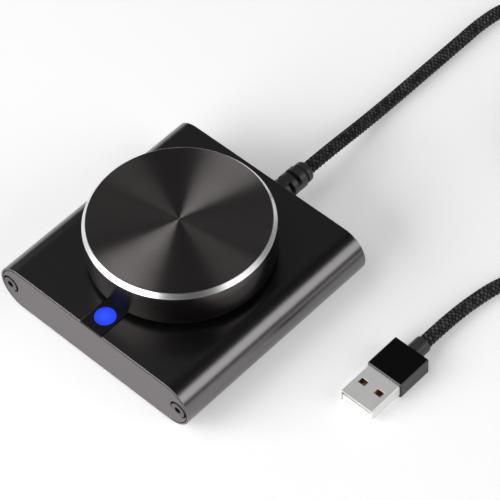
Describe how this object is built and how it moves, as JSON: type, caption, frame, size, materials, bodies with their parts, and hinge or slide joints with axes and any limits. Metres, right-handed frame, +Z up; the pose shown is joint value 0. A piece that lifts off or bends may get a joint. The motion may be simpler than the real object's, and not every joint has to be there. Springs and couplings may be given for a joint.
{
  "type": "volume control knob",
  "caption": "Desk volume control: a large turned knob on a flat rounded case, turning without end and pressing to mute, with a light strip and a braided lead to a flat plug.",
  "frame": {"origin": "on the table under the middle of the case", "axes": "+Z up through the knob, -Y towards the front plate and the light, +Y where the lead leaves"},
  "size_m": [0.1476, 0.2095, 0.0324],
  "materials": {
    "case_black": "satin anodised",
    "plate_grey": "satin anodised",
    "knob_metal": "spun face, satin side, polished chamfer",
    "core_plastic": "moulded",
    "screw_black": "blackened steel",
    "foot_rubber": "matt",
    "strip_black": "glossy",
    "light_blue": "lit, diffusing",
    "led_clear": "clear resin",
    "board_green": "solder mask",
    "chip_black": "moulded",
    "tin": "tinned",
    "can_metal": "bright can",
    "header_white": "moulded",
    "wire_red": "insulation",
    "braid_black": "braided",
    "encoder_plastic": "moulded",
    "encoder_steel": "nickel plated",
    "rotor_plastic": "moulded",
    "spring_bronze": "spring bronze",
    "boot_black": "satin moulded",
    "plug_black": "glossy, with bright cut edges",
    "shell_steel": "plated",
    "tongue_white": "moulded",
    "contact_gold": "plated",
    "strap_black": "woven hook and loop"
  },
  "bodies": {
    "base": {"body_shell": "case_black", "front_plate": "plate_grey", "rear_plate": "plate_grey", "front_screws": "screw_black", "rear_screws": "screw_black", "rubber_feet": "foot_rubber", "light_bar": "strip_black", "light_lens": "light_blue", "status_led": "led_clear", "circuit_board": "board_green", "controller_chip": "chip_black", "chip_legs": "tin", "crystal": "can_metal", "capacitors": "can_metal", "wire_header": "header_white", "inner_wires": "wire_red", "inner_lead": "braid_black", "encoder_base": "encoder_plastic", "encoder_frame": "encoder_steel", "encoder_pins": "tin", "detent_spring": "spring_bronze", "switch_dome": "tin", "bushing_washer": "encoder_steel", "bushing_nut": "encoder_steel", "strain_relief": "boot_black", "lead": "braid_black", "coil": "braid_black", "plug_lead": "braid_black", "cable_tie": "strap_black", "plug_sleeve": "boot_black", "plug_housing": "plug_black", "plug_shell": "shell_steel", "plug_insert": "tongue_white", "plug_contacts": "contact_gold"},
    "rotor": {"encoder_rotor": "rotor_plastic"},
    "knob": {"encoder_shaft": "encoder_steel", "knob_core": "core_plastic", "knob_cap": "knob_metal"}
  },
  "joints": [
    {"name": "knob_turn", "type": "hinge", "parent": "base", "child": "rotor", "pos_m": [0, 0, 0.0108], "axis": [0, 0, 1], "continuous": true},
    {"name": "knob_press", "type": "slide", "parent": "rotor", "child": "knob", "axis": [0, 0, -1], "range_m": [0, 0.0005], "stiffness_N_per_m": 8000, "springref_m": -0.0003, "deforming": ["switch_dome"]}
  ]
}
